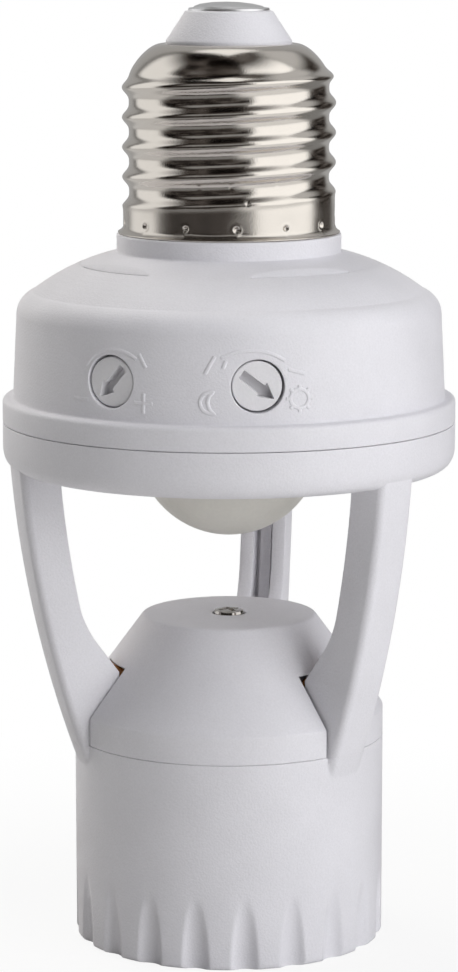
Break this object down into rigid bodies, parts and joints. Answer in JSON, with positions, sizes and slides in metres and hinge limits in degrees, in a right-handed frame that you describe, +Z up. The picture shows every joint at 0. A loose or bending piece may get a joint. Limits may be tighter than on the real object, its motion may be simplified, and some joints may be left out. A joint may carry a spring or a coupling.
{
  "type": "light sensor socket adapter",
  "caption": "Threaded metal cap on a domed sensor head with milky lens and setting knobs, joined by curved channelled arms to a fluted lamp holder with a cone top.",
  "frame": {"origin": "centre of the lamp holder's open rim, which the part stands on", "axes": "+Z up the common axis to the centre contact, -Y midway between the two setting knobs"},
  "size_m": [0.056, 0.056, 0.1164],
  "materials": {
    "white_housing": "moulded, fine satin",
    "white_knob": "moulded, fine satin",
    "milky_lens": "milky moulded polyethylene",
    "nickel_plate": "nickel plated brass, bright",
    "tinned_contact": "tin plated brass",
    "zinc_screw": "zinc plated steel",
    "brown_insulation": "brown insulation",
    "black_insulation": "black insulation",
    "board_laminate": "paper laminate",
    "trimmer_blue": "moulded",
    "rotor_ivory": "moulded",
    "sensor_can": "drawn can",
    "clear_epoxy": "clear epoxy",
    "relay_black": "moulded",
    "film_yellow": "moulded",
    "capacitor_sleeve": "shrunk sleeve",
    "chip_black": "moulded",
    "resistor_green": "cement coat",
    "brass_sleeve": "rolled brass",
    "spring_bronze": "sprung bronze"
  },
  "bodies": {
    "root": {"centre_contact": "tinned_contact", "screw_shell": "nickel_plate", "upper_housing": "white_housing", "lower_housing": "white_housing", "sensor_lens": "milky_lens", "holder_cap": "white_housing", "cap_screw": "zinc_screw", "neutral_lead": "brown_insulation", "load_lead": "brown_insulation", "main_board": "board_laminate", "time_trimmer": "trimmer_blue", "lux_trimmer": "trimmer_blue", "pir_sensor": "sensor_can", "light_sensor": "clear_epoxy", "relay": "relay_black", "film_capacitor": "film_yellow", "smoothing_capacitor": "capacitor_sleeve", "timing_capacitor": "capacitor_sleeve", "controller_chip": "chip_black", "fuse_resistor": "resistor_green", "rectifier": "chip_black", "cap_lead": "black_insulation", "shell_lead": "black_insulation", "threaded_sleeve": "brass_sleeve", "centre_spring": "spring_bronze", "spring_rivet": "tinned_contact"},
    "time_dial": {"time_knob": "white_knob", "time_rotor": "rotor_ivory"},
    "lux_dial": {"lux_knob": "white_knob", "lux_rotor": "rotor_ivory"}
  },
  "joints": [
    {"name": "time_knob_turn", "type": "hinge", "parent": "root", "child": "time_dial", "pos_m": [-0.00871, -0.0246, 0.0727], "axis": [0.3338, 0.9426, 0], "range_deg": [0, 280]},
    {"name": "lux_knob_turn", "type": "hinge", "parent": "root", "child": "lux_dial", "pos_m": [0.00871, -0.0246, 0.0727], "axis": [-0.3338, 0.9426, 0], "range_deg": [-268, 12]}
  ]
}
